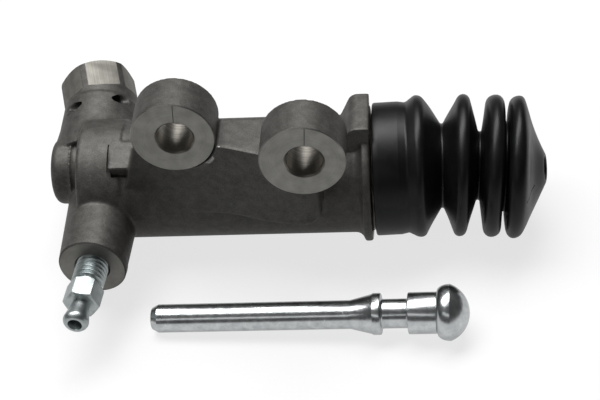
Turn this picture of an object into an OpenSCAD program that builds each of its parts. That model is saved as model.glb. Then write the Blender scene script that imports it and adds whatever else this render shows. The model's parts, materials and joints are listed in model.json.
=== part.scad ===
// Clutch slave cylinder: a cast aluminium body with two bolt lugs, a hydraulic inlet with a hexagon end,
// a bleed screw, a bellows dust boot and a loose push rod, with the piston, cups and spring inside the bore.
// X runs along the bore towards the boot, -Y is the way the lugs face, +Z goes from the bore to the lugs.
// The origin is on the bore's axis, in the plane of the flange's front face.

/* [Barrel] */
// Diameter of the bore that the piston runs in
bore_d = 22.2; // [18:0.1:24]
// Outer diameter of the cast barrel
barrel_d = 35.4; // [32:0.1:40]
// Distance from the flange face back to the barrel's rear face
barrel_len = 86.6; // [85:0.1:92]
// Distance from the flange face back to the shoulder that the spring sits on
bore_depth = 68; // [62:0.5:69]
// Diameter of the chamber behind the shoulder, where both ports come in
chamber_d = 12; // [9:0.5:14]
// Distance from the flange face back to the end of the chamber
chamber_depth = 82; // [80:0.5:83]
// Length of the raised band round the barrel's rear end
rear_band_len = 13.2; // [8:0.1:14]
// Height of the raised band above the barrel
rear_band_h = 0.7; // [0.3:0.1:1.5]

/* [Rear knob] */
// Diameter of the holding knob on the rear face
knob_d = 20; // [14:0.5:24]
// Length of the knob
knob_len = 6.2; // [4:0.1:9]
// Width of the waist between the knob and the barrel
knob_gap = 3.2; // [2:0.1:4]
// How far the knob's centre lies above the bore's axis
knob_rise = 2.5; // [0:0.1:5]
// How far the knob's centre lies towards the back
knob_back = 1.8; // [0:0.1:5]

/* [Flange and spigot] */
// Diameter of the flange that the boot butts against
flange_d = 40.8; // [38:0.1:46]
// Thickness of the flange at its rim
flange_t = 2.4; // [1.5:0.1:5]
// Diameter of the spigot inside the boot's collar
spigot_d = 34; // [30:0.1:36]
// Length of the spigot beyond the flange face
spigot_len = 8.4; // [6.8:0.1:12]
// Depth of the groove that holds the boot's bead
boot_groove_h = 1.2; // [0.6:0.1:2]
// Width of that groove
boot_groove_w = 2.4; // [1.5:0.1:3]
// Distance from the flange face to the groove
boot_groove_x = 3.6; // [3:0.1:4]
// Width of the locating pad on top of the flange
pad_w = 16.8; // [10:0.1:20]
// Height of the pad's top above the bore's axis
pad_top = 23.7; // [21:0.1:27]
// Length of the pad where it stands on the barrel
pad_len = 9; // [6:0.1:14]
// How far the pad's centre lies towards the back
pad_back = 0.3; // [-3:0.1:3]

/* [Bolt lugs] */
// Diameter of a lug
lug_d = 24; // [20:0.1:28]
// Length of a lug from face to back
lug_len = 12.5; // [9:0.1:13.5]
// Diameter of the bolt hole
lug_hole_d = 10.5; // [8.4:0.1:12]
// Distance by which a bolt hole is drilled off its lug's centre, towards the boot
hole_shift = 0.6; // [0:0.1:1.5]
// Height of the bolt holes above the bore's axis
lug_z = 31.4; // [29:0.1:36]
// Distance from the flange face back to the front lug
front_lug_x = 17.4; // [15:0.1:20]
// Distance from the flange face back to the rear lug
rear_lug_x = 54.3; // [48:0.1:58]
// How far the front lug's face stands before the bore's axis
front_lug_face = 30.5; // [28:0.1:33]
// How far the rear lug's face stands before the bore's axis
rear_lug_face = 18.9; // [17:0.1:21]
// Width of the bevel round a hole or a machined face
bevel = 0.5; // [0.2:0.1:1]

/* [Web] */
// Height of the web's flat top above the bore's axis
web_top = 28; // [25:0.1:31]
// Height of the web's lower edge above the bore's axis
web_low = 2.2; // [0:0.1:8]
// Rise of that edge towards the web's front end
web_front_rise = 2.2; // [0:0.1:5]
// How far the web's back lies before the bore's axis
web_back = 6.5; // [4:0.1:8]
// How far the web's front lies before the bore's axis, beside the rear lug
web_front = 19.1; // [18.6:0.1:20]
// Distance back from the flange face to the place where that is measured
web_front_x = 41.8; // [38:0.1:46]
// Angle between the bore and the web's front, ahead of that place
web_slant = 15.5; // [8:0.5:18]
// Angle between the bore and the web's front, behind that place
web_rear_slant = 7.5; // [2:0.5:12]
// Distance from the flange face back to the web's front end
web_end_x = 13.8; // [11:0.1:16]
// Distance from the flange face back to the foot of the web's rear end
web_rear_x = 73.6; // [70:0.1:75]
// Angle by which that rear end leans forward
web_rear_lean = 16; // [0:0.5:20]
// Width of the flat tongue behind the web, before the bore's axis
tongue_w = 10.4; // [8:0.1:13]
// Length of that tongue
tongue_len = 2.7; // [1:0.1:5]

/* [Inlet] */
// Distance from the flange face back to the inlet's axis
inlet_x = 78.2; // [76:0.1:80]
// Angle by which the inlet rises above the straight way back
inlet_rise = 12.5; // [0:0.5:30]
// Angle by which the inlet leans to the rear
inlet_lean = 14; // [0:0.5:20]
// Diameter of the inlet's round neck at the hexagon
neck_d = 23; // [20:0.1:24]
// Diameter of the flare beside the neck, where it runs into the barrel
neck_root_d = 26; // [24:0.1:30]
// Angle by which that flare leans away from the inlet's axis, towards the barrel's rear end
neck_skew = 13; // [0:0.5:16]
// Distance from the bore's axis to the hexagon
neck_len = 28.7; // [24:0.1:32]
// Width of the hexagon across its flats
inlet_hex_af = 21; // [19:0.1:22.5]
// Diameter to which the hexagon's corners are turned
inlet_hex_turned_d = 23.2; // [20:0.1:26]
// Length of the hexagon
inlet_hex_len = 10.9; // [7:0.1:14]
// Turn of the hexagon about its own axis
inlet_hex_turn = 12; // [0:1:60]
// Diameter of the socket for the hydraulic line
port_d = 16; // [12:0.1:16.4]
// Depth of that socket
port_depth = 21; // [17:0.5:22]
// Diameter of the cross hole for the pin that locks the line in
lock_pin_d = 3.3; // [2:0.1:3.4]
// Distance from the cross hole to the hexagon
lock_pin_gap = 5.7; // [3:0.1:6]
// Distance from the cross hole to the inlet's axis
lock_pin_off = 9.2; // [8.6:0.1:9.4]
// Diameter of the drillings between the chamber and the ports
drilling_d = 3.2; // [2:0.1:4]

/* [Bleed boss and screw] */
// Distance from the flange face back to the bleed screw's axis
bleed_x = 80.9; // [80:0.1:81.5]
// How far the bleed screw's axis lies below the bore's axis
bleed_drop = 4; // [2:0.1:4.5]
// Angle by which the bleed screw leans to the rear
bleed_lean = 4.2; // [0:0.1:6]
// Diameter of the bleed boss at its face
bleed_boss_d = 19.8; // [16:0.1:22]
// Angle by which the boss tapers towards its face
bleed_boss_draft = 1.8; // [0:0.1:3]
// How far the boss's face stands before the bore's axis
bleed_boss_len = 33.7; // [30:0.1:38]
// Outer diameter of the bleed screw's thread
bleed_thread_d = 9.5; // [7.8:0.1:11.8]
// Pitch of that thread
bleed_pitch = 1.5; // [1:0.25:1.75]
// Length of thread inside the boss
bleed_thread_in = 11; // [8:0.5:13]
// Length of thread and relief that shows outside the boss
bleed_thread_out = 8.3; // [4:0.1:10]
// Width of the bleed screw's hexagon across its flats
bleed_hex_af = 9.3; // [8:0.1:11]
// Length of that hexagon
bleed_hex_len = 6.8; // [4:0.1:9]
// Length of the hose nipple
nipple_len = 7.5; // [5:0.1:10]
// Diameter of the nipple's barb
nipple_d = 7.4; // [5.4:0.1:8]
// Diameter of the hole through the nipple
nipple_hole_d = 3.2; // [1.5:0.1:3.4]

/* [Dust boot] */
// Thickness of the boot's collar on the spigot
boot_collar_t = 2.8; // [2:0.1:4]
// Height of the boot's folds above its collar
boot_fold_h = 1.3; // [0.6:0.1:3]
// Thickness of the boot's wall
boot_wall = 1.5; // [1:0.1:2]
// Gap between the flange face and the boot's collar
boot_gap = 0.8; // [0.2:0.1:1.5]
// Distance from the flange face to the boot's tip
boot_len = 52.4; // [50:0.1:58]
// Diameter of the hole in the boot's tip
boot_hole_d = 7; // [5:0.1:8]

/* [Push rod] */
// Diameter of the push rod's shank
rod_d = 8.2; // [7:0.1:8.6]
// Length of the shank up to its cone
rod_shank_len = 57.9; // [50:0.1:70]
// Diameter of the band and the collar on each side of the boot's groove
rod_collar_d = 11.9; // [10:0.1:14]
// Diameter of the groove that the boot's tip sits in
rod_groove_d = 8.4; // [7:0.1:9]
// Diameter of the domed head
rod_head_d = 16.1; // [14:0.1:20]
// Height of the dome
rod_dome_h = 5.4; // [4:0.1:8]
// How far the loose rod's plain end lies before the bore's axis
rod_y = 42; // [36:0.1:60]
// Distance from the flange face back to the rod's plain end
rod_x = 64.1; // [50:0.1:80]
// Angle between the loose rod and the bore, seen from above
rod_yaw = 2.4; // [-5:0.1:5]

/* [Piston and spring] */
// Length of the piston between its front and its rear land's back
piston_len = 30; // [28:0.5:34]
// Depth of the socket for the push rod
socket_depth = 19; // [15:0.5:20]
// Thickness of the stop ring
ring_t = 1.2; // [0.8:0.1:1.6]
// Distance from the flange face to the stop ring
ring_x = 2.2; // [1:0.1:3]
// Diameter of the spring's wire
wire_d = 1.6; // [1.2:0.1:2]
// Turns of the spring
spring_turns = 7; // [5:1:9]

/* [Hidden] */
$fn = 96;
run_fit = 0.05;        // radial clearance of what slides or turns
seat_gap = 0.1;        // clearance of what only sits
merge = 1;             // how far a boss reaches into what it grows from
barrel_r = barrel_d / 2;
bore_r = bore_d / 2;
flange_r = flange_d / 2;
spigot_r = spigot_d / 2;
boot_collar_r = spigot_r + seat_gap + boot_collar_t;
boot_r = boot_collar_r + boot_fold_h;
floor_z = -boot_r;
// the inlet's end and the seat of the bleed screw, each measured on its own axis
inlet_end_z = neck_len + inlet_hex_len;
port_cone_h = 2;       // depth of the drilled cone at the bottom of both ports
bleed_hole_z = -bleed_thread_in - 3.2;
bleed_seat_z = bleed_hole_z - port_cone_h;
// the piston's front stands against the stop ring when nothing pushes on it
piston_front = ring_x - run_fit;
piston_rear = piston_front - piston_len;
ring_groove_h = 1.2;   // depth of the stop ring's groove in the bore
cup_w = 4;             // width of both cups
cup_heel = 2.2;        // thickness of the primary cup behind its lip
cup_groove_x = piston_front - 7;
cup_groove_r = bore_r - run_fit - 2.6;
nose_r = 4;
seat_x = piston_rear - cup_heel - 2 * run_fit;
seat_t = 0.8;          // thickness and radius of the pressed dish
seat_r = 7.8;
rod_ridge = 12;        // length of the rod from its collar to the widest line of its head
rod_bulge = 3.7;       // length of the head's rounded back
// the boot's folds share out the length between its collar and its tip
boot_fold_x = spigot_len + 2;
boot_fold_len = boot_len - boot_fold_x;
boot_crest_r = boot_fold_len * 0.05;
boot_dip_r = boot_fold_len * 0.0135;
// the boot's outline as circles that it wraps from the collar to the tip: [radius of the apex, x,
// signed radius], where a positive radius is a fold's crest and a negative one the bottom of a groove
boot_wraps = [
    [boot_collar_r, boot_fold_x - 2.2, 0.9],
    [boot_collar_r - 0.6, boot_fold_x, -1.3],
    [boot_r, boot_fold_x + boot_fold_len * 0.0867, boot_crest_r],
    [boot_collar_r - 7.3, boot_fold_x + boot_fold_len * 0.2502, -boot_dip_r],
    [boot_r, boot_fold_x + boot_fold_len * 0.3887, boot_crest_r],
    [boot_collar_r - 9.7, boot_fold_x + boot_fold_len * 0.5122, -boot_dip_r],
    [boot_r, boot_fold_x + boot_fold_len * 0.6132, boot_crest_r],
    [boot_collar_r - 6.5, boot_fold_x + boot_fold_len * 0.6918, -boot_dip_r],
    [boot_r, boot_fold_x + boot_fold_len * 0.7692, boot_crest_r]];

cast_grey = "#8d8a84";
zinc = "#c9cdd0";
rubber = "#37383a";
piston_grey = "#b9b4a8";
spring_steel = "#a9adb0";

// Points of an arc about [cx, cy], from angle a0 to a1
function arc(cx, cy, r, a0, a1, n = 8) = [for (i = [0:n]) let (a = a0 + (a1 - a0) * i / n)
    [cx + r * cos(a), cy + r * sin(a)]];

// Turns the revolved form of [radius, x] points onto the X axis
module turned(points) {
    rotate([0, 90, 0]) rotate_extrude() polygon([for (p = points) [p[0], p[1]]]);
}

// A cylinder of the given radius along X, between two stations
module rod_x(r, x0, x1) {
    translate([x0, 0, 0]) rotate([0, 90, 0]) cylinder(r = r, h = x1 - x0);
}

// A cylinder along Y, from y0 back to y1
module rod_y(r, y0, y1) {
    translate([0, y1, 0]) rotate([90, 0, 0]) cylinder(r = r, h = y1 - y0);
}

// A cutter along Y that opens a hole with a bevelled mouth at y0
module bevelled_hole_y(r, y0, y1) {
    rod_y(r, y0 - merge, y1);
    translate([0, y0 + bevel, 0]) rotate([90, 0, 0])
        cylinder(r1 = r, r2 = r + bevel + merge, h = bevel + merge);
}

// Barrel, rear band and flange as one turned form
module barrel_form() {
    blend_r = flange_r - barrel_r;
    band_r = barrel_r + rear_band_h;
    corner = 1.6;
    turned(concat(
        [[0, -barrel_len]],
        arc(band_r - corner, -barrel_len + corner, corner, -90, 0),
        [[band_r, -barrel_len + rear_band_len], [barrel_r, -barrel_len + rear_band_len]],
        arc(flange_r, -flange_t - blend_r, blend_r, 180, 90),
        [[flange_r, -0.4], [flange_r - 0.4, 0]],
        [[spigot_r, 0],
         [spigot_r, boot_groove_x], [spigot_r - boot_groove_h, boot_groove_x],
         [spigot_r - boot_groove_h, boot_groove_x + boot_groove_w],
         [spigot_r, boot_groove_x + boot_groove_w],
         [spigot_r, spigot_len - bevel], [spigot_r - bevel, spigot_len], [0, spigot_len]]));
}

// Holding knob behind the barrel, on a narrower waist
module knob() {
    r = knob_d / 2;
    waist_r = r - 1;
    round_r = 2.4;
    x_rear = -barrel_len - knob_gap - knob_len;
    translate([0, knob_back, knob_rise])
        turned(concat(
            [[0, x_rear]],
            arc(r - round_r, x_rear + round_r, round_r, -90, 0),
            arc(r - 0.8, -barrel_len - knob_gap - 0.8, 0.8, 0, 90, 4),
            arc(waist_r + knob_gap / 2, -barrel_len - knob_gap / 2, knob_gap / 2, 270, 90),
            [[waist_r + knob_gap / 2, -barrel_len + merge], [0, -barrel_len + merge]]));
}

// One bolt lug with its face towards -Y
module lug(x, face) {
    translate([-x, 0, lug_z]) {
        rod_y(lug_d / 2 - bevel / 2, -face, -face + lug_len);
        rod_y(lug_d / 2, -face + bevel / 2, -face + lug_len);
    }
}

// Web that joins both lugs to the barrel: its plan, cut to its side view
module web() {
    front_r = 4.5;
    rear_r = 2.5;
    height = web_top - web_low;
    // the lower edge rises over rise_l, and its front corner is cut by nose_l and nose_h
    rise_l = (web_rear_x - web_end_x) * 0.27;
    nose_l = 3;
    nose_h = 1;
    // the two straight parts of the front meet in a wide hollow round
    hollow_r = 50;
    hollow_t = hollow_r * tan((web_slant - web_rear_slant) / 2);
    front_y = -web_front - (web_front_x - web_end_x) * tan(web_slant);
    rear_y = -web_front + (web_rear_x - web_front_x) * tan(web_rear_slant);
    intersection() {
        translate([0, 0, web_low])
            linear_extrude(height)
                polygon(concat(
                    [[-web_rear_x, -web_back]],
                    arc(-web_rear_x + rear_r, rear_y + rear_r, rear_r, 180, 270 - web_rear_slant),
                    arc(-web_front_x - hollow_t * cos(web_rear_slant) - hollow_r * sin(web_rear_slant),
                        -web_front + hollow_t * sin(web_rear_slant) - hollow_r * cos(web_rear_slant),
                        hollow_r, 90 - web_rear_slant, 90 - web_slant, 6),
                    arc(-web_end_x - front_r, front_y + front_r, front_r, -90 - web_slant, 0),
                    [[-web_end_x, -web_back]]));
        rotate([90, 0, 0])
            linear_extrude(-front_y + merge)
                polygon([
                    [-web_rear_x, web_low],
                    [-web_rear_x + height * tan(web_rear_lean), web_top], [-web_end_x, web_top],
                    [-web_end_x, web_low + web_front_rise + nose_h],
                    [-web_end_x - nose_l, web_low + web_front_rise], [-web_end_x - rise_l, web_low]]);
    }
}

// Locating pad above the flange, with a steep rounded back
module pad() {
    slope = 2.6;
    top_r = 3;
    translate([0, pad_back + pad_w / 2, 0]) rotate([90, 0, 0])
        linear_extrude(pad_w)
            polygon(concat(
                [[0, barrel_r - 4], [-pad_len, barrel_r - 4], [-pad_len, barrel_r - 2.2]],
                arc(-pad_len + slope + top_r, pad_top - top_r, top_r, 160, 90),
                [[0, pad_top]]));
}

// Flat tongue behind the web, tilted to the front
module tongue() {
    tilt = 12;
    thickness = 6;
    height = barrel_r + rear_band_h;
    reach = (tongue_w - height * sin(tilt)) / cos(tilt);
    x0 = -web_rear_x - tongue_len;
    rotate([tilt, 0, 0])
        translate([x0, -reach, height - thickness])
            cube([height * tan(web_rear_lean) + tongue_len, reach, thickness]);
}

// Cored pocket in the barrel, at the foot of the tongue's edge
module pocket() {
    side_r = 1;
    length = 2.8;
    floor_h = bore_r + 3;
    x0 = -web_rear_x - 1.7 + side_r;
    hull()
        for (x = [x0, x0 + length - 2 * side_r])
            translate([x, -tongue_w - side_r, sqrt(floor_h * floor_h - tongue_w * tongue_w)])
                cylinder(r = side_r, h = barrel_r);
}

// Places its children on the inlet's axis, with Z along the flow path to the outside
module at_inlet() {
    translate([-inlet_x, 0, 0]) rotate([0, 0, inlet_lean]) rotate([inlet_rise - 90, 0, 0]) children();
}

// Neck and hexagon of the inlet
module inlet() {
    hex_r = inlet_hex_af / 2 / cos(30);
    turned_r = inlet_hex_turned_d / 2;
    chamfer = turned_r - inlet_hex_af / 2 + 0.1;
    flare_z = neck_len - 2.5;
    flare_len = neck_len * 0.56;
    root_r = neck_root_d / 2;
    foot = 8;
    at_inlet() {
        cylinder(r = neck_d / 2, h = neck_len);
        translate([0, 0, flare_z]) rotate([0, neck_skew, 0])
            rotate_extrude() polygon([
                [0, -flare_len - foot], [root_r - foot, -flare_len - foot], [root_r, -flare_len],
                [neck_d / 2 + bevel, 0], [0, 0]]);
        intersection() {
            translate([0, 0, neck_len - merge]) rotate([0, 0, inlet_hex_turn])
                cylinder(r = hex_r, h = inlet_hex_len + merge, $fn = 6);
            rotate_extrude() polygon([
                [0, neck_len - merge], [neck_d / 2 - bevel, neck_len - merge],
                [neck_d / 2 - bevel, neck_len], [turned_r, neck_len],
                [turned_r, inlet_end_z - chamfer * tan(40)],
                [turned_r - chamfer, inlet_end_z], [0, inlet_end_z]]);
        }
    }
}

// Places its children on the bleed screw's axis, with Z pointing out of the boss and zero on its face
module at_bleed() {
    translate([-bleed_x, -bleed_boss_len, -bleed_drop])
        rotate([0, 0, -bleed_lean]) rotate([90, 0, 0]) children();
}

// Tapered boss of the bleed screw, cut square to the screw's axis
module bleed_boss() {
    face_r = bleed_boss_d / 2;
    spare = merge + face_r * tan(bleed_lean);
    root_r = face_r + bleed_boss_len * tan(bleed_boss_draft);
    tip_r = face_r - spare * tan(bleed_boss_draft);
    root_in = 4;
    difference() {
        translate([-bleed_x, 0, -bleed_drop]) rotate([90, 0, 0])
            rotate_extrude() polygon([
                [0, -root_in], [root_r - 2 * root_in, -root_in], [root_r, root_in],
                [tip_r, bleed_boss_len + spare], [0, bleed_boss_len + spare]]);
        at_bleed() cylinder(r = bleed_boss_d, h = 2 * spare + merge);
    }
}

// All that is bored, drilled and turned out of the casting
module machining() {
    chamber_r = chamber_d / 2;
    drilling_r = drilling_d / 2;
    port_r = port_d / 2;
    hole_r = bleed_thread_d / 2 + run_fit;
    cone_h = chamber_r * 0.6;
    // bore, stop ring's groove, spring shoulder and chamber
    turned([
        [0, -chamber_depth], [chamber_r, -chamber_depth + cone_h], [chamber_r, -bore_depth],
        [bore_r, -bore_depth],
        [bore_r, ring_x - run_fit], [bore_r + ring_groove_h, ring_x - run_fit],
        [bore_r + ring_groove_h, ring_x + ring_t + run_fit], [bore_r, ring_x + ring_t + run_fit],
        [bore_r, spigot_len - bevel], [bore_r + bevel + merge, spigot_len + merge],
        [0, spigot_len + merge]]);
    // bolt holes
    for (l = [[front_lug_x, front_lug_face], [rear_lug_x, rear_lug_face]])
        translate([hole_shift - l[0], 0, lug_z]) {
            bevelled_hole_y(lug_hole_d / 2, -l[1], -l[1] + lug_len + merge);
            // the bolt's way past the web behind the lug
            rod_y(lug_hole_d / 2 + merge, -l[1] + lug_len, merge - web_back);
        }
    // inlet socket, its drilling and the cross hole for the locking pin
    at_inlet() {
        rotate_extrude() polygon([
            [0, 0], [drilling_r, 0], [drilling_r, inlet_end_z - port_depth - port_cone_h],
            [port_r, inlet_end_z - port_depth], [port_r, inlet_end_z - bevel],
            [port_r + bevel + merge, inlet_end_z + merge], [0, inlet_end_z + merge]]);
        translate([-neck_d, -lock_pin_off, neck_len - lock_pin_gap]) rotate([0, 90, 0])
            cylinder(r = lock_pin_d / 2, h = 2 * neck_d);
    }
    // bleed screw's hole, its seat and the drilling
    at_bleed() rotate_extrude() polygon([
        [0, -bleed_boss_len], [drilling_r, -bleed_boss_len], [drilling_r, bleed_seat_z],
        [hole_r, bleed_hole_z], [hole_r, -bevel], [hole_r + bevel + merge, merge], [0, merge]]);
}

module body_casting() {
    color(cast_grey) difference() {
        union() {
            difference() {
                barrel_form();
                pocket();
            }
            knob();
            lug(front_lug_x, front_lug_face);
            lug(rear_lug_x, rear_lug_face);
            web();
            pad();
            tongue();
            inlet();
            bleed_boss();
        }
        machining();
    }
}

module bleed_screw() {
    crest_r = bleed_thread_d / 2;
    root_r = crest_r - 0.61 * bleed_pitch;
    relief_r = root_r - 0.1;
    hex_r = bleed_hex_af / 2 / cos(30);
    hex_z = bleed_thread_out;
    end_z = hex_z + bleed_hex_len + nipple_len;
    crests = floor((bleed_thread_in + bleed_thread_out - 1.2) / bleed_pitch);
    // the cone closes on the edge where the seat meets the drilling
    edge_r = drilling_d / 2 - seat_gap;
    cone_slope = 0.75;
    cone_z = bleed_seat_z + (root_r - edge_r) / cone_slope;
    tip_h = 0.4;
    side_hole_r = 0.8;
    side_hole_z = -bleed_thread_in - side_hole_r - 0.1;
    neck_r = nipple_hole_d / 2 + 0.5;
    barb_r = nipple_d / 2;
    barb_z = hex_z + bleed_hex_len + nipple_len * 0.68;
    color(zinc) at_bleed() difference() {
        union() {
            rotate_extrude() polygon(concat(
                [[0, bleed_seat_z - tip_h], [edge_r - tip_h * cone_slope, bleed_seat_z - tip_h],
                 [root_r, cone_z]],
                [for (i = [0:crests - 1]) let (z = -bleed_thread_in + i * bleed_pitch)
                    for (p = [[root_r, z + 0.1 * bleed_pitch], [crest_r, z + 0.44 * bleed_pitch],
                              [crest_r, z + 0.56 * bleed_pitch], [root_r, z + 0.9 * bleed_pitch]]) p],
                [[relief_r, hex_z - 0.4], [relief_r, hex_z + merge], [0, hex_z + merge]]));
            intersection() {
                translate([0, 0, hex_z]) cylinder(r = hex_r, h = bleed_hex_len, $fn = 6);
                translate([0, 0, hex_z]) rotate_extrude() polygon([
                    [0, 0], [hex_r - 0.6, 0], [hex_r, 0.4], [hex_r, bleed_hex_len - 0.5],
                    [hex_r - 0.9, bleed_hex_len], [0, bleed_hex_len]]);
            }
            rotate_extrude() polygon([
                [0, hex_z + bleed_hex_len - merge], [neck_r, hex_z + bleed_hex_len - merge],
                [neck_r, hex_z + bleed_hex_len + 0.3], [barb_r - 0.15, barb_z - 0.4], [barb_r, barb_z],
                [barb_r - 0.1, barb_z + 0.4], [neck_r + 0.7, end_z - 0.2], [neck_r + 0.5, end_z],
                [0, end_z]]);
        }
        translate([0, 0, side_hole_z]) cylinder(r = nipple_hole_d / 2, h = end_z - side_hole_z + merge);
        translate([-crest_r - merge, 0, side_hole_z]) rotate([0, 90, 0])
            cylinder(r = side_hole_r, h = bleed_thread_d + 2 * merge);
    }
}

// Direction of the common normal of two wraps next to each other, as an angle from the radius towards X
function wrap_angle(a, b) = let (
    d = [b[1] - a[1], (b[0] - b[2]) - (a[0] - a[2])],
    l = norm(d), base = atan2(d[1], d[0]))
    asin((a[2] - b[2]) / l) - base;
// The outline along all wraps, moved inwards by w, as [radius, x] points
function wrap_line(w, wraps, first, last, n = 7) = let (k = len(wraps) - 1)
    [for (i = [0:k]) let (
        c = wraps[i],
        a0 = i == 0 ? first : wrap_angle(wraps[i - 1], c),
        a1 = i == k ? last : wrap_angle(c, wraps[i + 1]))
        for (j = [0:n]) let (a = a0 + (a1 - a0) * j / n)
            [c[0] - c[2] + (c[2] - w) * cos(a), c[1] + (c[2] - w) * sin(a)]];

module dust_boot() {
    x0 = boot_gap;
    tip_r = boot_hole_d / 2 + 1;
    hole_r = boot_hole_d / 2;
    tip_w = 1.6;
    // the cone from the last fold to the tip runs along this angle's normal
    tip_angle = wrap_angle(boot_wraps[len(boot_wraps) - 1], [tip_r, boot_len, 0]);
    folds = [for (i = [2:len(boot_wraps) - 1]) boot_wraps[i]];
    skin_out = wrap_line(0, boot_wraps, 0, tip_angle);
    skin_in = wrap_line(boot_wall, folds, wrap_angle(boot_wraps[1], boot_wraps[2]), tip_angle);
    last_in = len(skin_in) - 1;
    // the inner skin meets the back of the tip's rim
    rim_in = [hole_r + (tip_r - hole_r) / 2, boot_len - tip_w];
    bead_r = spigot_r - boot_groove_h + seat_gap;
    grip_r = spigot_r + seat_gap;
    bead_x0 = boot_groove_x + seat_gap;
    bead_x1 = boot_groove_x + boot_groove_w - seat_gap;
    color(rubber) turned(concat(
        [[grip_r, x0], [boot_collar_r - 0.5, x0], [boot_collar_r, x0 + 0.5]], skin_out,
        [[tip_r, boot_len], [hole_r, boot_len], [hole_r, boot_len - tip_w], rim_in],
        [for (i = [last_in:-1:0]) skin_in[i]],
        [[grip_r, boot_wraps[1][1]], [grip_r, bead_x1], [bead_r, bead_x1],
         [bead_r, bead_x0], [grip_r, bead_x0]]));
}

module push_rod() {
    r = rod_d / 2;
    groove_len = 7.6;
    band_x = rod_shank_len + 6.6;
    groove_x = band_x + 2.2;
    collar_x = groove_x + groove_len;
    ridge_x = collar_x + rod_ridge;
    head_r = rod_head_d / 2;
    dome_r = (head_r * head_r + rod_dome_h * rod_dome_h) / (2 * rod_dome_h);
    dome_a = asin(head_r / dome_r);
    chamfer = 0.9;
    // the rod lies on the edge of its plain end and on the rim of its head
    pitch = atan((head_r - r) / (ridge_x - 2 * chamfer));
    color(zinc)
        translate([-rod_x, -rod_y, floor_z + r * cos(pitch) - 2 * chamfer * sin(pitch)])
            rotate([0, 0, -rod_yaw]) rotate([0, -pitch, 0])
                turned(concat(
                    [[0, 0], [r - chamfer, 0], [r, 2 * chamfer], [r, rod_shank_len],
                     [rod_collar_d / 2 - 0.2, band_x - 0.3], [rod_collar_d / 2, band_x],
                     [rod_collar_d / 2, groove_x - 0.3], [rod_collar_d / 2 - 0.3, groove_x],
                     [rod_groove_d / 2, groove_x + 0.3], [rod_groove_d / 2, collar_x - 0.2],
                     [rod_collar_d / 2 - 0.4, collar_x], [rod_collar_d / 2, collar_x + 0.4],
                     [rod_collar_d / 2, ridge_x - rod_bulge - 0.2],
                     [rod_collar_d / 2 - 0.2, ridge_x - rod_bulge]],
                    [for (i = [0:7]) let (a = 90 * i / 7)
                        [rod_collar_d / 2 + (head_r - rod_collar_d / 2) * sin(a),
                         ridge_x - 0.1 - rod_bulge * cos(a)]],
                    [for (i = [0:14]) let (a = dome_a * (1 - i / 14))
                        [dome_r * sin(a), ridge_x + rod_dome_h - dome_r + dome_r * cos(a)]]));
}

module piston() {
    r = bore_r - run_fit;
    waist_r = r - 1.8;
    nose_x = piston_rear - cup_w - 3.4;
    mouth = 1.4;
    socket_r = rod_d / 2 + 0.35;
    color(piston_grey) difference() {
        turned([
            [0, nose_x], [nose_r - 0.5, nose_x], [nose_r, nose_x + 0.5],
            [nose_r, piston_rear], [r - 0.4, piston_rear], [r, piston_rear + 0.4], [r, piston_rear + 4],
            [waist_r, piston_rear + 4.8], [waist_r, cup_groove_x - cup_w - 2.6],
            [r, cup_groove_x - cup_w - 1.8], [r, cup_groove_x - cup_w], [cup_groove_r, cup_groove_x - cup_w],
            [cup_groove_r, cup_groove_x], [r, cup_groove_x], [r, piston_front - 0.4],
            [r - 0.4, piston_front], [0, piston_front]]);
        turned([
            [0, piston_front - socket_depth], [socket_r * 0.5, piston_front - socket_depth + 0.6],
            [socket_r * 0.87, piston_front - socket_depth + 2], [socket_r, piston_front - socket_depth + 4],
            [socket_r, piston_front - mouth], [socket_r + mouth, piston_front],
            [socket_r + mouth + merge, piston_front + merge], [0, piston_front + merge]]);
    }
}

// Lip seal on the piston's nose: a disc with a flared lip towards the pressure
module primary_cup() {
    r = bore_r - run_fit;
    front = piston_rear - run_fit;
    color(rubber) turned([
        [nose_r + run_fit, front - cup_heel], [nose_r + run_fit, front], [r - 1, front],
        [r - 0.6, front - 1.6], [r, front - cup_w], [r - 0.8, front - cup_w], [r - 2.6, front - cup_heel]]);
}

// Lip seal in the piston's front groove
module secondary_cup() {
    r = bore_r - run_fit;
    front = cup_groove_x - run_fit;
    rear = front - cup_w + 2 * run_fit;
    color(rubber) turned([
        [cup_groove_r + run_fit, rear], [cup_groove_r + run_fit, front], [r - 0.5, front],
        [r - 0.4, front - 1.2], [r, rear], [r - 0.7, rear], [r - 1.2, rear + 1.4], [r - 1.7, rear]]);
}

// Pressed steel dish between the spring and the primary cup
module spring_seat() {
    color(zinc) turned([
        [nose_r + run_fit, seat_x - seat_t], [nose_r + run_fit, seat_x], [seat_r, seat_x],
        [seat_r, seat_x - 2 * seat_t], [seat_r - seat_t, seat_x - 2 * seat_t],
        [seat_r - seat_t, seat_x - seat_t]]);
}

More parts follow.
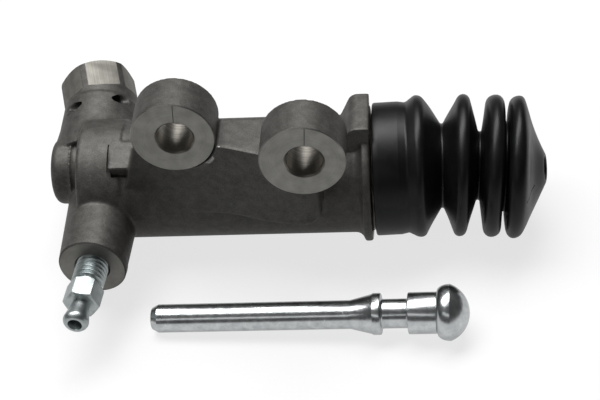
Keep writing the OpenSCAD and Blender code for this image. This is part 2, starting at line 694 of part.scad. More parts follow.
// Conical spring from the dish to the shoulder at the end of the bore, with closed ends
module return_spring() {
    sides = 8;
    per_turn = 18;
    wire_r = wire_d / 2;
    small_r = seat_r - seat_t - wire_r - seat_gap;
    large_r = bore_r - wire_r - 0.5;
    x0 = seat_x - seat_t - wire_r - run_fit;
    x1 = -bore_depth + wire_r + run_fit;
    rings = spring_turns * per_turn;
    // share of the travel along X that is done after a share of the turns: a flat turn at each end
    flat = 0.8 / spring_turns;
    function share(s) = s < flat ? 0 : s > 1 - flat ? 1 : (s - flat) / (1 - 2 * flat);
    points = [for (i = [0:rings]) let (s = i / rings, a = 360 * spring_turns * s, k = share(s),
            r = small_r + (large_r - small_r) * k, x = x0 + (x1 - x0) * k)
        for (j = [0:sides - 1]) let (b = 360 * j / sides, rr = r + wire_r * cos(b))
            [x + wire_r * sin(b), rr * cos(a), rr * sin(a)]];
    skin = [for (i = [0:rings - 1]) for (j = [0:sides - 1]) let (k = (j + 1) % sides)
        [i * sides + j, (i + 1) * sides + j, (i + 1) * sides + k, i * sides + k]];
    cap0 = [for (j = [0:sides - 1]) j];
    cap1 = [for (j = [sides - 1:-1:0]) rings * sides + j];
    color(spring_steel) polyhedron(points, concat(skin, [cap0, cap1]));
}

// Split ring in the bore's mouth, which the piston stops against
module stop_ring() {
    outer = bore_r + ring_groove_h - seat_gap;
    inner = bore_r - 1.4;
    gap_w = 9;
    color(spring_steel) difference() {
        rod_x(outer, ring_x, ring_x + ring_t);
        rod_x(inner, ring_x - merge, ring_x + ring_t + merge);
        translate([ring_x - merge, -gap_w / 2, 0]) cube([ring_t + 2 * merge, gap_w, outer + merge]);
    }
}

body_casting();
bleed_screw();
dust_boot();
push_rod();
piston();
primary_cup();
secondary_cup();
spring_seat();
return_spring();
stop_ring();
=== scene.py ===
# %% [markdown]
# # Clutch slave cylinder
# A clutch slave cylinder turns the pressure of the clutch pedal into the push of a rod. This file dresses
# its CAD model for a picture: a rough aluminium casting with a few machined places, a bleed screw and a
# loose push rod in bright zinc, and a bellows boot in black rubber. All lengths in the lists are in
# millimetres, and the scene itself is in metres.

# %% Load the CAD frame
import bpy, json
from math import asin, atan, atan2, cos, degrees, hypot, pi, radians, sin, tan
from mathutils import Matrix, Vector

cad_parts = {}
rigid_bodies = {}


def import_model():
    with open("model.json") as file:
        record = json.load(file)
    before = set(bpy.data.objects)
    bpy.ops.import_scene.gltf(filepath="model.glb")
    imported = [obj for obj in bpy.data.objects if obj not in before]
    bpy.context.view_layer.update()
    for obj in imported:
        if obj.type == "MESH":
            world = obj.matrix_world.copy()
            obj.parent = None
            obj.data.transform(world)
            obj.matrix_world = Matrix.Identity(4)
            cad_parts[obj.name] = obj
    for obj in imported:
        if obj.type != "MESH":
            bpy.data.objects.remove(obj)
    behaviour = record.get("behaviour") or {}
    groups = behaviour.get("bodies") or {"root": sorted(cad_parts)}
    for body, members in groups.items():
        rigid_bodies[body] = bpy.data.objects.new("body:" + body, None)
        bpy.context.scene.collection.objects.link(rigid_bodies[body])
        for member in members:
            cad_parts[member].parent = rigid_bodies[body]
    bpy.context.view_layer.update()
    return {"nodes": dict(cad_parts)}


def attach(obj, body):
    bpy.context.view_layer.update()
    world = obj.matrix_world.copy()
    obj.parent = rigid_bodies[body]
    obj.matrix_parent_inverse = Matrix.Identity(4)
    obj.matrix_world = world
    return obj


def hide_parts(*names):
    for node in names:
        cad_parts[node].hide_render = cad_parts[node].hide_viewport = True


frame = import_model()
nodes = frame["nodes"]
MM = 0.001
print("CAD nodes:", sorted(nodes))

# %% [markdown]
# The sizes below are those of the CAD model. Each turned piece is drawn on its own axis, with Z along it,
# and a matrix then carries it to its place, just as a machinist clamps the work to suit the tool. The
# matrices are named for the axis: along the bore, up the inlet neck, out of the bleed boss, and square to
# the face of each lug.

# %% Sizes and axes
BORE_R, SPIGOT_R = 11.1, 17.0
SPIGOT_LEN, BORE_DEPTH = 8.4, 68.0
LUG_R, LUG_LEN, LUG_Z, HOLE_R, HOLE_SHIFT = 12.0, 12.5, 31.4, 5.25, 0.6
LUGS = {"front": (17.4, 30.5), "rear": (54.3, 18.9)}
NECK_LEN, HEX_AF, HEX_TURNED_R, INLET_END = 28.7, 21.0, 11.6, 39.6
BOSS_FACE, BOSS_FACE_R, BLEED_R = 33.7, 9.9, 4.8
BAND_TILT = 12
BOOT_R, BOOT_LEN, COLLAR_R = 21.2, 52.4, 19.9
FLOOR = -BOOT_R
BEVEL = 0.5


def turn(angle, axis):
    return Matrix.Rotation(radians(angle), 4, axis)


def move(x, y, z):
    return Matrix.Translation((x, y, z))


ALONG_BORE = turn(90, "Y")
AT_INLET = move(-78.2, 0, 0) @ turn(14, "Z") @ turn(12.5 - 90, "X")
AT_BLEED = move(-80.9, -BOSS_FACE, -4) @ turn(-4.2, "Z") @ turn(90, "X")
AT_LUG = {k: move(-x, -face, LUG_Z) @ turn(90, "X") for k, (x, face) in LUGS.items()}
AT_HOLE = {k: move(HOLE_SHIFT - x, -face, LUG_Z) @ turn(90, "X") for k, (x, face) in LUGS.items()}

# %% [markdown]
# Nearly every piece here came off a lathe or was drilled, so one helper does most of the modelling. It
# draws a profile point by point with Extrude, starting from a plane merged to a single vertex, and then
# spins it round Z. Merging by distance closes the seam and the poles, and the normals are recalculated
# because a spin can leave a shape inside out.

# %% Helpers for modelling
def pick(*objects):
    """Selects only these objects, and makes the last one active."""
    bpy.ops.object.select_all(action="DESELECT")
    for o in objects:
        o.select_set(True)
        bpy.context.view_layer.objects.active = o


def place(o, matrix):
    """Moves a finished shape from its own axis in millimetres to its place in the scene in metres."""
    pick(o)
    o.matrix_world = Matrix.Scale(MM, 4) @ matrix
    bpy.ops.object.transform_apply(location=True, rotation=True, scale=True)
    return o


def draw(name, profile):
    """Draws a line of (radius, height) points in the XZ plane, and stays in edit mode."""
    r0, z0 = profile[0]
    bpy.ops.mesh.primitive_plane_add(size=1, location=(r0, 0, z0))
    o = bpy.context.object
    o.name = name
    pick(o)
    bpy.ops.object.transform_apply(location=True)
    bpy.ops.object.mode_set(mode="EDIT")
    bpy.ops.mesh.select_all(action="SELECT")
    bpy.ops.mesh.merge(type="CENTER")
    for (ra, za), (rb, zb) in zip(profile, profile[1:]):
        bpy.ops.mesh.extrude_vertices_move(TRANSFORM_OT_translate={"value": (rb - ra, 0, zb - za)})
    return o


def lathe(name, profile, matrix, steps=128):
    """Spins a closed profile of (radius, height) points round Z."""
    o = draw(name, profile)
    bpy.ops.mesh.select_all(action="SELECT")
    bpy.ops.mesh.spin(steps=steps, angle=2 * pi, center=(0, 0, 0), axis=(0, 0, 1))
    bpy.ops.mesh.select_all(action="SELECT")
    bpy.ops.mesh.remove_doubles(threshold=0.0005)
    bpy.ops.mesh.select_all(action="SELECT")
    bpy.ops.mesh.normals_make_consistent(inside=False)
    bpy.ops.object.mode_set(mode="OBJECT")
    return place(o, matrix)


def block(name, low, high, matrix):
    """A box between two corners, on the axis that the matrix gives."""
    size = [b - a for a, b in zip(low, high)]
    middle = [(a + b) / 2 for a, b in zip(low, high)]
    bpy.ops.mesh.primitive_cube_add(size=1)
    o = bpy.context.object
    o.name = name
    o.matrix_world = move(*middle) @ Matrix.Diagonal((*size, 1))
    pick(o)
    bpy.ops.object.transform_apply(location=True, rotation=True, scale=True)
    return place(o, matrix)


def apply_modifier(o, kind, **settings):
    m = o.modifiers.new(kind.lower(), kind)
    for key, value in settings.items():
        setattr(m, key, value)
    pick(o)
    bpy.ops.object.modifier_apply(modifier=m.name)


def cut(o, tool, operation="DIFFERENCE"):
    """Cuts a shape with a closed tool, and throws the tool away."""
    apply_modifier(o, "BOOLEAN", object=tool, operation=operation, solver="MANIFOLD")
    bpy.data.objects.remove(tool)


def smooth(o, angle=30):
    pick(o)
    bpy.ops.object.shade_smooth_by_angle(angle=radians(angle))


# %% [markdown]
# The body is a gravity casting. A casting has no sharp inner or outer corners: the molten metal rounds
# them all. Bevelling hundreds of edges where cylinders meet at odd angles would be slow and fragile, so
# the work follows the foundry instead. A copy of the CAD body gets extra metal wherever a tool will cut
# later, Voxel Remesh turns everything into one even skin, and a smoothing pass melts its corners.
#
# The copy's triangles are loose, so its doubles are merged first.

# %% Copy the CAD body
pick(nodes["body_casting"])
bpy.ops.object.duplicate()
casting = bpy.context.object
casting.name = "cast_body"
casting.parent = None
bpy.ops.object.mode_set(mode="EDIT")
bpy.ops.mesh.select_all(action="SELECT")
bpy.ops.mesh.remove_doubles(threshold=1e-6)
bpy.ops.object.mode_set(mode="OBJECT")
print("CAD body:", len(casting.data.polygons), "faces")

# %% [markdown]
# The extra metal comes in two kinds. The bore, the inlet, the boss and the lugs are filled and made too
# long, as a foundry does, so that the cutters below leave a crisp edge. The others mend the cast form:
# the knob's waist and the flare of the neck get a softer slope, the tongue reaches further down the band,
# and the CAD hole across the neck is filled so that it can be drilled a little aside.

# %% Metal to be machined, and softer slopes
stock = [
    lathe("bore_stock", [(0, -86), (15, -86), (15, 3), (SPIGOT_R + 1, 3), (SPIGOT_R + 1, 12), (0, 12)], ALONG_BORE),
    lathe("inlet_stock", [(0, 8), (9, 8), (9, NECK_LEN - 2), (HEX_TURNED_R, NECK_LEN),
                          (HEX_TURNED_R, INLET_END + 3), (0, INLET_END + 3)], AT_INLET),
    lathe("boss_stock", [(0, -20), (8, -20), (8, -1), (BOSS_FACE_R + 0.1, -3),
                         (BOSS_FACE_R - 0.1, 3.5), (0, 3.5)], AT_BLEED),
    lathe("waist_stock", [(0, -90), (9.6, -90), (9.6, -84), (0, -84)], move(0, 1.8, 2.5) @ ALONG_BORE, 64),
    lathe("flare_stock", [(0, -21), (14.2, -21), (11.9, -5), (0, -5)],
          AT_INLET @ move(0, 0, NECK_LEN - 2.5) @ turn(13, "Y"), 64),
    block("tongue_stock", (-76.3, -9.6, 12.4), (-64, 0.5, 18.3), turn(BAND_TILT, "X")),
    lathe("pin_stock", [(0, -5.8), (2, -5.8), (2, 5.8), (0, 5.8)],
          AT_INLET @ move(0, -9.2, NECK_LEN - 5.7) @ turn(90, "Y"), 32)]
LUG_STOCK = [(0, -LUG_LEN), (LUG_R - 2, -LUG_LEN), (LUG_R, -LUG_LEN + 2), (LUG_R, 3), (0, 3)]
stock += [lathe("lug_stock_" + k, LUG_STOCK, AT_LUG[k]) for k in LUGS]

# %% [markdown]
# Joined, the shapes still cross one another. Voxel Remesh keeps only their common outer skin, in steps of
# 0.42 mm. A few rounds of Smooth turn its steps into the soft corners of a casting, and Decimate gives
# back half of the triangles, which flat places don't need.

# %% Melt it into one rough casting
VOXEL, PASSES, KEPT_SHARE = 0.42, 7, 0.5
pick(*stock, casting)
bpy.ops.object.join()
apply_modifier(casting, "REMESH", mode="VOXEL", voxel_size=VOXEL * MM, adaptivity=0)
apply_modifier(casting, "SMOOTH", factor=0.5, iterations=PASSES)
apply_modifier(casting, "DECIMATE", ratio=KEPT_SHARE)
print("rough casting:", len(casting.data.polygons), "faces")

# %% [markdown]
# Now the machining, in the order of the real shop. Every tool is a closed shape that is bigger than the
# metal it removes, and the Manifold solver subtracts it. The cut edges stay crisp beside the soft skin.
# First the bore is drilled and reamed, with a groove for the stop ring near its mouth.
#
# One cut of the real shop is missing here: the spigot isn't turned. Under the boot it keeps its rough
# stock, which is 1 mm thicker and 3.6 mm longer than the finished spigot and closes the bore's mouth.

# %% Drill the bore
BORE = [(0, -82), (6, -78.4), (6, -BORE_DEPTH), (BORE_R, -BORE_DEPTH), (BORE_R, 2.15), (BORE_R + 1.2, 2.15),
        (BORE_R + 1.2, 3.45), (BORE_R, 3.45), (BORE_R, SPIGOT_LEN - BEVEL), (BORE_R + BEVEL + 1, SPIGOT_LEN + 1),
        (0, SPIGOT_LEN + 1)]
cut(casting, lathe("bore_tool", BORE, ALONG_BORE, 160))

# %% [markdown]
# Each lug is faced, which breaks its rim a little, and drilled for its bolt. In the photo a fine line runs
# from the hole to the rim at the top of each face, where the cutter stopped. It is cut 0.05 mm deep, so
# that it is a real line in the mesh and not a painted one.

# %% Face and drill the lugs
LUG_FACER = [(0, 0), (LUG_R - 0.3, 0), (LUG_R + 0.1, -0.4), (LUG_R + 0.1, 6), (0, 6)]
LUG_DRILL = [(0, -LUG_LEN - 1), (HOLE_R, -LUG_LEN - 1), (HOLE_R, -BEVEL), (HOLE_R + BEVEL + 1, 1), (0, 1)]
for k in LUGS:
    cut(casting, lathe("lug_facer", LUG_FACER, AT_LUG[k]))
    cut(casting, lathe("lug_drill", LUG_DRILL, AT_HOLE[k], 96))
    cut(casting, block("scribe", (-0.12, HOLE_R - 1, -0.05), (0.12, LUG_R + 1, 1), AT_HOLE[k] @ turn(-4, "Z")))

# %% [markdown]
# The bleed boss gets a flat face and a hole with a cone at its bottom, which the bleed screw closes.

# %% Face and drill the bleed boss
BOSS_FACER = [(0, 0), (BOSS_FACE_R - 0.4, 0), (BOSS_FACE_R + 0.1, -0.5), (13, -0.5), (13, 6), (0, 6)]
cut(casting, lathe("boss_facer", BOSS_FACER, AT_BLEED))
BLEED_HOLE = [(0, -BOSS_FACE), (1.6, -BOSS_FACE), (1.6, -16.2), (BLEED_R, -14.2), (BLEED_R, -BEVEL),
              (BLEED_R + BEVEL + 1, 1), (0, 1)]
cut(casting, lathe("bleed_drill", BLEED_HOLE, AT_BLEED, 96))

# %% [markdown]
# The end of the inlet neck is turned, six flats are milled on it, and the socket for the hydraulic line is
# drilled. A small hole goes across the neck for the pin that locks the line. The flats' cutter has a
# rounded edge, which leaves the small fillet at the foot of each flat.

# %% Turn, mill and drill the inlet
INLET_FACER = [(0, INLET_END), (HEX_TURNED_R - 1.2, INLET_END), (HEX_TURNED_R + 1, INLET_END - 1.85),
               (20, INLET_END - 1.85), (20, INLET_END + 8), (0, INLET_END + 8)]
cut(casting, lathe("inlet_facer", INLET_FACER, AT_INLET))
INLET_HEX_TURN = 42
for i in range(6):
    side = AT_INLET @ turn(INLET_HEX_TURN + 60 * i, "Z")
    flat = block("flat_cutter", (HEX_AF / 2, -12, NECK_LEN), (HEX_AF / 2 + 8, 12, INLET_END + 6), side)
    apply_modifier(flat, "BEVEL", width=0.8 * MM, segments=3)
    cut(casting, flat)
PORT_R, PORT_BOTTOM = 8.0, INLET_END - 21
SOCKET = [(0, 0), (1.6, 0), (1.6, PORT_BOTTOM - 2), (PORT_R, PORT_BOTTOM), (PORT_R, INLET_END - BEVEL),
          (PORT_R + BEVEL + 1, INLET_END + 1), (0, INLET_END + 1)]
cut(casting, lathe("socket_drill", SOCKET, AT_INLET, 96))
PIN = AT_INLET @ move(0.3, -9.5, NECK_LEN - 6.1) @ turn(90, "Y")
PIN_R = 1.85
cut(casting, lathe("pin_drill", [(0, -22), (PIN_R, -22), (PIN_R, 22), (0, 22)], PIN, 48))

# %% [markdown]
# Two places of the cast form are easier to cut than to build up: the groove between the tongue and the
# band, and the dark pocket under the tongue. With them the casting is done and takes the place of the
# CAD body. It is bolted down in use, so it rides on the housing.

# %% Groove and pocket of the tongue
cut(casting, block("tongue_groove", (-76.85, -4.5, 17.3), (-76.4, 4.5, 19), turn(BAND_TILT + 16.7, "X")))
cut(casting, block("tongue_pocket", (-75.6, -10.5, 14.4), (-71, -9.4, 17), turn(BAND_TILT, "X")))
smooth(casting, 28)
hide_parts("body_casting")
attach(casting, "housing")
print("machined casting:", len(casting.data.polygons), "faces")

# %% [markdown]
# The bleed screw is turned and zinc plated. It is made of four shapes that overlap: a core with the seat
# cone at its inner end, a nipple with a barb that holds the hose, a hexagon for the spanner and a thread.
# The hexagon is a six sided cylinder whose corners are trimmed by a turned shape, as on a lathe.

# %% Core, nipple and hexagon of the bleed screw
THREAD_R, PITCH, THREAD_IN, THREAD_OUT = 4.75, 1.5, 11.0, 8.3
ROOT_R = THREAD_R - 0.61 * PITCH
BLEED_AF, BLEED_HEX_LEN, NIPPLE_LEN = 9.3, 6.8, 7.5
HEX_Z = THREAD_OUT
NIPPLE_Z = HEX_Z + BLEED_HEX_LEN
END_Z = NIPPLE_Z + NIPPLE_LEN
HEX_R = BLEED_AF / 2 / cos(radians(30))
HEX_TURN = 21
NIP_R, TIP_RING_R, BARB_R, NIPPLE_HOLE_R = 2.5, 2.9, 3.7, 1.6

CORE = [(0, -16.6), (1.2, -16.6), (ROOT_R, -13.3), (ROOT_R, HEX_Z - 0.9), (ROOT_R - 0.1, HEX_Z - 0.6),
        (ROOT_R - 0.1, HEX_Z + 1), (0, HEX_Z + 1)]
screw = lathe("bleed_screw_piece", CORE, AT_BLEED, 96)
BARB = [(0.02, NIP_R), (0.4, 3.1), (0.7, 3.6), (0.76, BARB_R), (0.82, BARB_R), (0.9, 3.5), (0.96, 3.15),
        (0.985, TIP_RING_R), (1, TIP_RING_R - 0.2)]
NIPPLE = [(0, NIPPLE_Z - 1), (NIP_R, NIPPLE_Z - 1)]
NIPPLE += [(r, NIPPLE_Z + NIPPLE_LEN * share) for share, r in BARB] + [(0, END_Z)]
nipple = lathe("nipple", NIPPLE, AT_BLEED, 96)
bpy.ops.mesh.primitive_cylinder_add(vertices=6, radius=HEX_R, depth=BLEED_HEX_LEN,
                                    location=(0, 0, HEX_Z + BLEED_HEX_LEN / 2), rotation=(0, 0, radians(HEX_TURN)))
hexagon = bpy.context.object
pick(hexagon)
bpy.ops.object.transform_apply(location=True, rotation=True)
place(hexagon, AT_BLEED)
TRIM = [(0, HEX_Z - 0.5), (HEX_R - 0.9, HEX_Z - 0.5), (HEX_R - 0.6, HEX_Z), (HEX_R, HEX_Z + 0.4),
        (HEX_R, NIPPLE_Z - 0.55), (HEX_R - 1.1, NIPPLE_Z), (HEX_R - 1.4, NIPPLE_Z + 0.5), (0, NIPPLE_Z + 0.5)]
cut(hexagon, lathe("trim", TRIM, AT_BLEED, 96), "INTERSECT")

# %% [markdown]
# The thread is a real helix. One tooth is drawn as a closed profile beside the axis, and the Screw
# modifier winds it up the axis by one pitch for each turn. Its two open ends are then filled, so that it
# is a closed body like the others.

# %% Thread of the bleed screw
TOOTH = [(ROOT_R - 0.35, 0.02), (ROOT_R, 0.09), (THREAD_R, 0.44), (THREAD_R, 0.56), (ROOT_R, 0.91),
         (ROOT_R - 0.35, 0.98)]
thread = draw("thread", [(r, -THREAD_IN + share * PITCH) for r, share in TOOTH])
bpy.ops.mesh.select_all(action="DESELECT")
bpy.ops.object.mode_set(mode="OBJECT")
for v in (thread.data.vertices[0], thread.data.vertices[-1]):
    v.select = True
bpy.ops.object.mode_set(mode="EDIT")
bpy.ops.mesh.edge_face_add()
bpy.ops.object.mode_set(mode="OBJECT")
turns = int((THREAD_IN + THREAD_OUT - 1.2) / PITCH)
apply_modifier(thread, "SCREW", axis="Z", screw_offset=PITCH, iterations=turns, steps=48, render_steps=48,
               use_merge_vertices=True, merge_threshold=0.0001)
pick(thread)
bpy.ops.object.mode_set(mode="EDIT")
bpy.ops.mesh.select_all(action="DESELECT")
bpy.ops.mesh.select_non_manifold(extend=False, use_wire=False, use_multi_face=False, use_non_contiguous=False,
                                 use_verts=False, use_boundary=True)
bpy.ops.mesh.edge_face_add()
bpy.ops.mesh.select_all(action="SELECT")
bpy.ops.mesh.normals_make_consistent(inside=False)
bpy.ops.object.mode_set(mode="OBJECT")
place(thread, AT_BLEED)
print("thread:", len(thread.data.vertices), "vertices", turns, "turns")

# %% [markdown]
# The four shapes are joined, and one drill goes down the nipple, with a small countersink at its mouth.
# The screw turns in its boss, so it rides on the bleeder.

# %% Join and drill the bleed screw
pick(nipple, hexagon, thread, screw)
bpy.ops.object.join()
NIPPLE_DRILL = [(0, -11.9), (NIPPLE_HOLE_R, -11.9), (NIPPLE_HOLE_R, END_Z - 1.2), (NIPPLE_HOLE_R + 0.35, END_Z - 0.3),
                (NIPPLE_HOLE_R + 0.6, END_Z + 0.3), (0, END_Z + 0.3)]
cut(screw, lathe("nipple_drill", NIPPLE_DRILL, AT_BLEED, 64))
smooth(screw, 35)
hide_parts("bleed_screw")
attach(screw, "bleeder")
print("bleed screw:", len(screw.data.polygons), "faces")

# %% [markdown]
# The push rod is one turned bar. It lies loose in front of the cylinder on the edge of its plain end and
# the rim of its domed head, so its axis tips up a little towards the head. The profile runs from the
# plain end over the shank, the first band, the groove that holds the boot's tip and the second band to
# the head, whose back is a quarter ellipse and whose front is an arc.

# %% Push rod
ROD_R, SHANK, BAND_R, GROOVE_R, HEAD_R, DOME = 4.1, 57.9, 5.95, 4.2, 8.05, 5.4
BAND_X = SHANK + 6.6
GROOVE_X = BAND_X + 2.2
SECOND_X = GROOVE_X + 7.6
RIDGE_X = SECOND_X + 12
BULGE = 3.7
dome_r = (HEAD_R ** 2 + DOME ** 2) / (2 * DOME)
dome_a = asin(HEAD_R / dome_r)
tip_up = atan((HEAD_R - ROD_R) / (RIDGE_X - 1.8))
AT_ROD = (move(-64.1, -42, FLOOR + ROD_R * cos(tip_up) - 1.8 * sin(tip_up))
          @ turn(-2.4, "Z") @ Matrix.Rotation(-tip_up, 4, "Y") @ turn(90, "Y"))
ROD = [(0, 0), (ROD_R - 1.1, 0), (ROD_R - 0.9, 0.15), (ROD_R - 0.1, 1.65), (ROD_R, 1.9), (ROD_R, SHANK - 0.3),
       (ROD_R + 0.08, SHANK + 0.2), (BAND_R - 0.3, BAND_X - 0.6), (BAND_R - 0.06, BAND_X - 0.2), (BAND_R, BAND_X),
       (BAND_R, GROOVE_X - 0.35), (BAND_R - 0.1, GROOVE_X - 0.1), (BAND_R - 0.3, GROOVE_X),
       (GROOVE_R + 0.2, GROOVE_X + 0.25), (GROOVE_R, GROOVE_X + 0.5), (GROOVE_R, SECOND_X - 0.4),
       (GROOVE_R + 0.2, SECOND_X - 0.15), (BAND_R - 0.4, SECOND_X), (BAND_R - 0.1, SECOND_X + 0.12),
       (BAND_R, SECOND_X + 0.4), (BAND_R, RIDGE_X - BULGE - 0.3), (BAND_R - 0.12, RIDGE_X - BULGE - 0.1),
       (BAND_R - 0.2, RIDGE_X - BULGE)]
ROD += [(BAND_R + (HEAD_R - BAND_R) * sin(radians(a)), RIDGE_X - 0.1 - BULGE * cos(radians(a)))
        for a in range(0, 91, 9)]
ROD += [(dome_r * sin(dome_a * (1 - i / 24)), RIDGE_X + DOME - dome_r + dome_r * cos(dome_a * (1 - i / 24)))
        for i in range(25)]
rod = lathe("push_rod_piece", ROD, AT_ROD, 160)
smooth(rod, 20)
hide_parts("push_rod")
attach(rod, "housing")
print("push rod:", len(rod.data.polygons), "faces")

# %% [markdown]
# The boot is moulded rubber. Seen in section, its skin wraps round a row of circles like a belt round
# pulleys: large circles make the crests of the folds and small ones the bottoms of the grooves. The same
# belt, moved inwards by the wall, is the inner skin.

# %% Boot profile
WALL, TIP_R, TIP_HOLE_R = 1.5, 4.5, 3.5
FOLD_X = SPIGOT_LEN + 2
FOLD_LEN = BOOT_LEN - FOLD_X
CREST, DIP = FOLD_LEN * 0.05, -FOLD_LEN * 0.0135
WRAPS = [(COLLAR_R, FOLD_X - 2.2, 0.9), (COLLAR_R - 0.35, FOLD_X, -1.3)]
WRAPS += [(r, FOLD_X + FOLD_LEN * share, bend) for r, share, bend in (
    (BOOT_R, 0.0867, CREST), (COLLAR_R - 7.3, 0.2502, DIP), (BOOT_R, 0.3887, CREST), (COLLAR_R - 9.7, 0.5092, DIP),
    (BOOT_R, 0.6132, 2.6), (COLLAR_R - 6.5, 0.6918, DIP), (BOOT_R, 0.7692, 2.5))]


def wrap_angle(a, b):
    dx, dr = b[1] - a[1], (b[0] - b[2]) - (a[0] - a[2])
    return asin((a[2] - b[2]) / hypot(dx, dr)) - atan2(dr, dx)


def skin(wraps, first, last, inset, n=9):
    angles = [first] + [wrap_angle(a, b) for a, b in zip(wraps, wraps[1:])] + [last]
    line = []
    for (r, x, s), a0, a1 in zip(wraps, angles, angles[1:]):
        for j in range(n + 1):
            a = a0 + (a1 - a0) * j / n
            line.append((r - s + (s - inset) * cos(a), x + (s - inset) * sin(a)))
    return line


def fill_in(line, step):
    """Adds points to the long straight runs, so that they can bend later."""
    out = [line[0]]
    for a, b in zip(line, line[1:]):
        n = max(1, int(hypot(b[0] - a[0], b[1] - a[1]) / step))
        out += [(a[0] + (b[0] - a[0]) * i / n, a[1] + (b[1] - a[1]) * i / n) for i in range(1, n + 1)]
    return out


tip_angle = wrap_angle(WRAPS[-1], (TIP_R, BOOT_LEN, 0))
outer = skin(WRAPS, 0, tip_angle, 0)
inner = skin(WRAPS[2:], wrap_angle(WRAPS[1], WRAPS[2]), tip_angle, WALL)
profile = [(17.1, 0.8), (COLLAR_R - 0.6, 0.8), (COLLAR_R - 0.2, 0.95), (COLLAR_R, 1.4)] + outer
profile += [(TIP_R - 0.1, BOOT_LEN - 0.05), (TIP_R - 0.3, BOOT_LEN), (TIP_HOLE_R + 0.3, BOOT_LEN),
            (TIP_HOLE_R, BOOT_LEN - 0.3), (TIP_HOLE_R, BOOT_LEN - 1.6), (TIP_HOLE_R + 0.5, BOOT_LEN - 1.6)]
profile += inner[::-1]
profile += [(17.1, WRAPS[1][1]), (17.1, 5.9), (15.9, 5.9), (15.9, 3.7), (17.1, 3.7), (17.1, 0.8)]
boot = lathe("boot_piece", fill_in(profile, 1.2), ALONG_BORE, 144)
print("boot:", len(boot.data.polygons), "faces")

# %% [markdown]
# A bellows never sits quite straight. In the photo its folds ride up from the ground and lean towards the
# tip, and their rims waver a little. Each ring of vertices is moved by how far along the boot it lies,
# with the collar's inner side left on the spigot. The tables say how far it is lifted, in millimetres,
# and how much it leans, in degrees, at each distance from the flange. The tip's cone leans on its own,
# about the rim that is nearest the flange, so it stays within the length of the CAD boot.

# %% Bend the boot
UP = Vector((0, 0.675, 0.737))
FRONT = Vector((0, -0.739, 0.674))
LIFT = [(0, 1.0), (9, 1.2), (14, 1.6), (27, 1.5), (36, 1.05), (43, 0.5), (52.4, 0)]
LEAN = [(0, -0.7), (14, -0.7), (20, 0.5), (27, 3), (36, 3), (43, 3.5), (52.4, 0)]


def ease(table, x):
    """Reads a table of (x, value) pairs with a smooth curve between them."""
    for (xa, a), (xb, b) in zip(table, table[1:]):
        if x <= xb:
            t = min(1, max(0, (x - xa) / (xb - xa)))
            return a + (b - a) * t * t * (3 - 2 * t)
    return table[-1][1]


for v in boot.data.vertices:
    p = v.co / MM
    radius = hypot(p.y, p.z)
    x = p.x
    held = 1 - ease([(8.4, 0), (13, 1)], x)
    free = 1 - held * (1 - ease([(17.3, 0), (19.4, 1)], radius))
    along = p.dot(UP)
    shift = UP * ease(LIFT, x) * free
    wave = ease([(12, 0), (20, 1)], radius) * ease([(9, 0), (12, 1), (44, 1), (50, 0)], x)
    angle = atan2(p.z, p.y)
    shift.x += along * tan(radians(ease(LEAN, x))) * free
    shift.x -= (p.dot(FRONT) + TIP_R) * tan(radians(ease([(45, 0), (51, 11)], x)))
    shift.x += 0.16 * wave * sin(2 * angle + x * 0.3) + 0.1 * wave * sin(3 * angle + x)
    v.co = (p + shift) * MM
boot.data.update()

# %% [markdown]
# In the photo a shallow nick crosses the cone, from the pull out of the mould. A thin blade cuts it.

# %% Nick in the boot's cone
blade = block("nick", (0, -0.15, -0.5), (10, 0.15, 2),
              ALONG_BORE @ turn(-99.4, "Z") @ move(9.3, 0, 47.8) @ turn(21, "Y"))
cut(boot, blade)
smooth(boot, 40)
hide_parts("dust_boot")
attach(boot, "housing")

# %% [markdown]
# Materials are built from nodes. One small function adds a node with its settings and its links, and one
# turns the usual sRGB hex colours into the linear values that Blender works with. A noise pattern's scale
# is a count for each metre, so a grain of so many millimetres has the scale 1000 divided by that length.

# %% Helpers for materials
def colour(code):
    parts = [int(code[i:i + 2], 16) / 255 for i in (1, 3, 5)]
    return (*[c / 12.92 if c < 0.04045 else ((c + 0.055) / 1.055) ** 2.4 for c in parts], 1)


def add(tree, kind, links=None, stops=(), **settings):
    """Adds a node. Settings name its properties, links its inputs (a value, or another node's output), and
    stops the places and colours of a colour ramp."""
    n = tree.nodes.new("ShaderNode" + kind)
    for key, value in settings.items():
        setattr(n, key, value)
    for key, value in (links or {}).items():
        if isinstance(value, bpy.types.NodeSocket):
            tree.links.new(value, n.inputs[key])
        else:
            n.inputs[key].default_value = value
    if len(stops) > 2:
        n.color_ramp.elements.new(0.5)
    for e, (position, value) in zip(n.color_ramp.elements if stops else (), stops):
        e.position, e.color = position, value
    return n


def material(name):
    m = bpy.data.materials.new(name)
    m.use_nodes = True
    tree = m.node_tree
    return m, tree, tree.nodes["Principled BSDF"]


def grey(v):
    return (v, v, v, 1)


def wear(piece, *materials):
    """Takes the frame's plain materials off a piece and gives it these."""
    piece.data.materials.clear()
    for m in materials:
        piece.data.materials.append(m)
